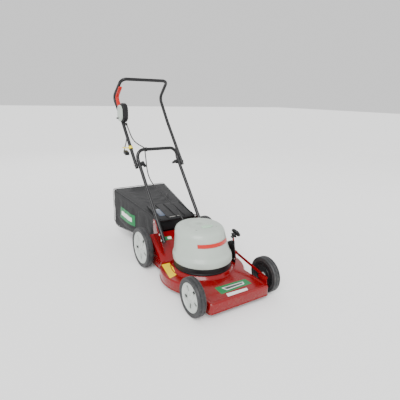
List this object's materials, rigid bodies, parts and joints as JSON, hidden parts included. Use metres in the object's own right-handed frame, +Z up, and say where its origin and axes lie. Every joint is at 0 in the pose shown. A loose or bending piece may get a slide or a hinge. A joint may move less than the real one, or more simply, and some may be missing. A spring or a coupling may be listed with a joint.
{
  "type": "electric rotary lawn mower",
  "caption": "Walk-behind electric lawn mower with pressed deck, domed motor cover, rear grass bag, height lever and folding tube handle.",
  "frame": {"origin": "middle of the machine on the ground, halfway along its length and width", "axes": "+X to the machine's left as it drives, +Y to the rear and the operator, +Z up; it drives towards -Y"},
  "size_m": [0.51, 1.308, 1.1417],
  "materials": {
    "red_paint": "glossy sprayed enamel on pressed steel",
    "black_paint": "satin black paint on steel",
    "black_tube": "satin black powder coat on steel tube",
    "zinc_steel": "bright zinc plate",
    "motor_alloy": "cast, matt",
    "blade_steel": "dark rolled steel with a ground edge",
    "cover_plastic": "pale grey moulded plastic, satin",
    "hub_plastic": "pale grey moulded plastic, satin",
    "red_plastic": "glossy red moulded plastic",
    "badge": "pale green printed badge",
    "black_plastic": "moulded black plastic",
    "yellow_plastic": "bright yellow moulded plastic",
    "tyre_rubber": "dark grey moulded rubber",
    "cable": "black rubber sheath",
    "bag_cloth": "black woven bag cloth"
  },
  "bodies": {
    "chassis": {"deck_shell": "red_paint", "side_plate_right": "red_paint", "side_plate_left": "red_paint", "foot_bolt_right_1": "zinc_steel", "foot_bolt_right_2": "zinc_steel", "foot_bolt_left_1": "zinc_steel", "foot_bolt_left_2": "zinc_steel", "chute_floor": "black_plastic", "chute_guard": "black_plastic", "motor_body": "motor_alloy", "cover_base_ring": "black_plastic", "motor_cover": "cover_plastic", "cover_band": "red_plastic", "cover_badge": "badge", "front_bush_right": "black_plastic", "rear_bush_right": "black_plastic", "front_bush_left": "black_plastic", "rear_bush_left": "black_plastic", "height_quadrant": "black_paint", "lever_bolt": "zinc_steel", "lower_handle": "black_tube", "knob_bolt_right": "zinc_steel", "knob_bolt_left": "zinc_steel", "cable_clip": "black_plastic", "flap_rod": "zinc_steel", "motor_cable_lower": "cable"},
    "front_axle": {"front_axle": "red_paint"},
    "rear_axle": {"rear_axle": "red_paint"},
    "front_left_wheel": {"front_left_tyre": "tyre_rubber", "front_left_hub": "hub_plastic"},
    "front_right_wheel": {"front_right_tyre": "tyre_rubber", "front_right_hub": "hub_plastic"},
    "rear_left_wheel": {"rear_left_tyre": "tyre_rubber", "rear_left_hub": "hub_plastic"},
    "rear_right_wheel": {"rear_right_tyre": "tyre_rubber", "rear_right_hub": "hub_plastic"},
    "height_lever": {"height_lever": "red_paint", "height_knob": "black_plastic"},
    "front_rod": {"front_rod": "red_paint"},
    "rear_rod": {"rear_rod": "red_paint"},
    "rotor": {"motor_shaft": "zinc_steel", "blade_adapter": "motor_alloy", "blade": "blade_steel", "blade_bolt": "zinc_steel"},
    "rear_flap": {"rear_flap": "black_plastic"},
    "grass_bag": {"bag_fabric": "bag_cloth", "bag_frame": "black_plastic", "bag_wire": "zinc_steel"},
    "upper_handle": {"upper_handle": "black_tube", "switch_box": "black_plastic", "switch_face": "cover_plastic", "cord_hook": "yellow_plastic", "cable_gland": "black_plastic", "motor_cable_upper": "cable", "supply_cord": "cable", "supply_plug": "black_plastic"},
    "bail_lever": {"bail_lever": "red_plastic"},
    "lock_button": {"lock_button": "black_plastic"},
    "wing_knob_right": {"wing_knob_right": "black_plastic"},
    "wing_knob_left": {"wing_knob_left": "black_plastic"}
  },
  "joints": [
    {"name": "front_axle_swing", "type": "hinge", "parent": "chassis", "child": "front_axle", "pos_m": [0, -0.607, 0.069], "axis": [1, 0, 0], "range_deg": [-45, 0]},
    {"name": "rear_axle_swing", "type": "hinge", "parent": "chassis", "child": "rear_axle", "pos_m": [0, 0, 0.094], "axis": [1, 0, 0], "range_deg": [-45, 0]},
    {"name": "height_lever_swing", "type": "hinge", "parent": "chassis", "child": "height_lever", "pos_m": [0, -0.336, 0.111], "axis": [1, 0, 0], "range_deg": [-45, 0]},
    {"name": "front_rod_pivot", "type": "hinge", "parent": "height_lever", "child": "front_rod", "pos_m": [0, -0.33, 0.149], "axis": [1, 0, 0], "range_deg": [0, 45]},
    {"name": "rear_rod_pivot", "type": "hinge", "parent": "height_lever", "child": "rear_rod", "pos_m": [0, -0.33, 0.149], "axis": [1, 0, 0], "range_deg": [0, 45]},
    {"name": "front_left_wheel_spin", "type": "hinge", "parent": "front_axle", "child": "front_left_wheel", "pos_m": [0.234, -0.554, 0.1], "axis": [1, 0, 0], "continuous": true},
    {"name": "front_right_wheel_spin", "type": "hinge", "parent": "front_axle", "child": "front_right_wheel", "pos_m": [-0.234, -0.554, 0.1], "axis": [1, 0, 0], "continuous": true},
    {"name": "rear_left_wheel_spin", "type": "hinge", "parent": "rear_axle", "child": "rear_left_wheel", "pos_m": [0.234, 0.053, 0.125], "axis": [1, 0, 0], "continuous": true},
    {"name": "rear_right_wheel_spin", "type": "hinge", "parent": "rear_axle", "child": "rear_right_wheel", "pos_m": [-0.234, 0.053, 0.125], "axis": [1, 0, 0], "continuous": true},
    {"name": "blade_spin", "type": "hinge", "parent": "chassis", "child": "rotor", "pos_m": [0, -0.273, 0.1], "axis": [0, 0, 1], "continuous": true},
    {"name": "handle_fold", "type": "hinge", "parent": "chassis", "child": "upper_handle", "pos_m": [0, 0.291, 0.598], "axis": [1, 0, 0], "range_deg": [0, 138]},
    {"name": "bail_squeeze", "type": "hinge", "parent": "upper_handle", "child": "bail_lever", "pos_m": [-0.152, 0.562, 0.952], "axis": [1, 0, 0], "range_deg": [-5, 0], "stiffness_Nm_per_rad": 0.8, "springref_deg": 6.88},
    {"name": "lock_button_press", "type": "slide", "parent": "upper_handle", "child": "lock_button", "axis": [1, 0, 0], "range_m": [0, 0.004], "stiffness_N_per_m": 300, "springref_m": -0.002},
    {"name": "rear_flap_lift", "type": "hinge", "parent": "chassis", "child": "rear_flap", "pos_m": [0, 0.039, 0.282], "axis": [1, 0, 0], "range_deg": [0, 32], "stiffness_Nm_per_rad": 0.4, "springref_deg": -17.19},
    {"name": "grass_bag_slide", "type": "slide", "parent": "chassis", "child": "grass_bag", "axis": [0, 1, 0], "range_m": [0, 0.3]},
    {"name": "wing_knob_right_turn", "type": "hinge", "parent": "chassis", "child": "wing_knob_right", "pos_m": [-0.134, 0.291, 0.598], "axis": [1, 0, 0], "continuous": true},
    {"name": "wing_knob_left_turn", "type": "hinge", "parent": "chassis", "child": "wing_knob_left", "pos_m": [0.134, 0.291, 0.598], "axis": [1, 0, 0], "continuous": true}
  ],
  "couplings": [
    {"joint": "rear_axle_swing", "follows": "front_axle_swing", "ratio": 1},
    {"joint": "height_lever_swing", "follows": "front_axle_swing", "ratio": 1},
    {"joint": "front_rod_pivot", "follows": "front_axle_swing", "ratio": -1},
    {"joint": "rear_rod_pivot", "follows": "front_axle_swing", "ratio": -1}
  ]
}
